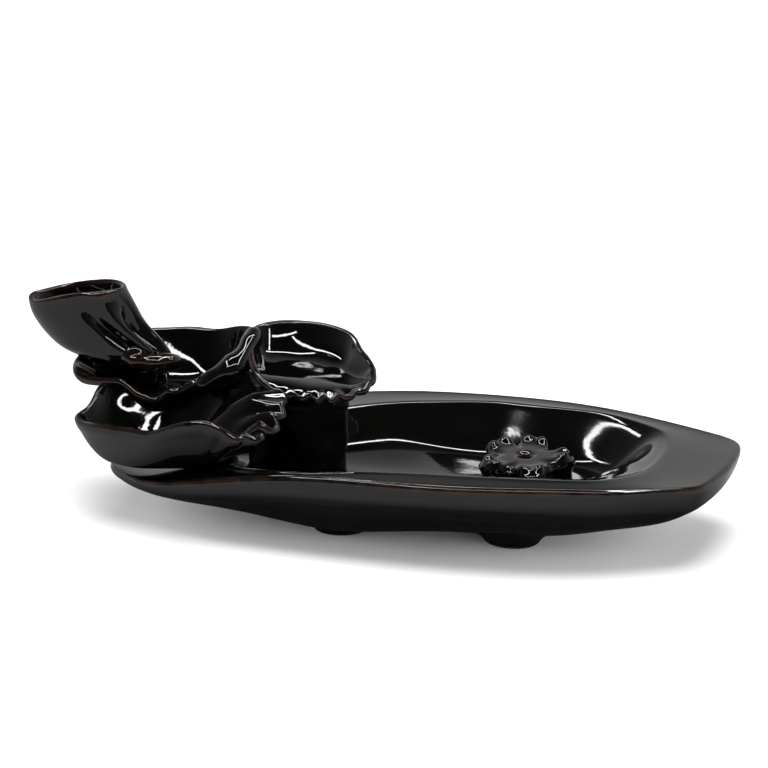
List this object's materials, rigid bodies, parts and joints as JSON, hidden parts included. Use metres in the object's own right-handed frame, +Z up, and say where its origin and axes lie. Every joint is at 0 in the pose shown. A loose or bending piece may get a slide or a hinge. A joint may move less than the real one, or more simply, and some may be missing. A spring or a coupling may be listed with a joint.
{
  "type": "incense burner",
  "caption": "Black-glazed boat-shaped backflow incense burner with stepped leaf bowls, a tilted cone cup and a loose flower-shaped stick holder.",
  "frame": {"origin": "on the table plane, below the middle of the whole burner's footprint box", "axes": "+X along the dish from the leaf end towards the blunt open end, +Z up, -Y the side the leaves pour towards"},
  "size_m": [0.2762, 0.1009, 0.0844],
  "materials": {
    "black_glaze": "gloss black glaze that breaks to brown where it is thin on the edges",
    "brown_glaze": "gloss black-brown glaze, thin over reddish clay",
    "bare_foot": "black glaze above, wiped bare at the bottom where the red-brown fired clay shows"
  },
  "bodies": {
    "burner": {"boat_dish": "black_glaze", "foot_front_left": "bare_foot", "foot_front_right": "bare_foot", "foot_back_left": "bare_foot", "foot_back_right": "bare_foot", "cone_cup": "black_glaze", "smoke_spout": "brown_glaze", "upper_leaf": "black_glaze", "front_leaf": "black_glaze", "right_leaf": "black_glaze", "rear_stem": "black_glaze", "right_stem": "black_glaze", "leaf_knot": "black_glaze"},
    "loose_holder": {"stick_holder": "black_glaze"}
  },
  "joints": [
    {"name": "holder_lift", "type": "slide", "parent": "burner", "child": "loose_holder", "axis": [0, 0, 1], "range_m": [0, 0.08]}
  ]
}
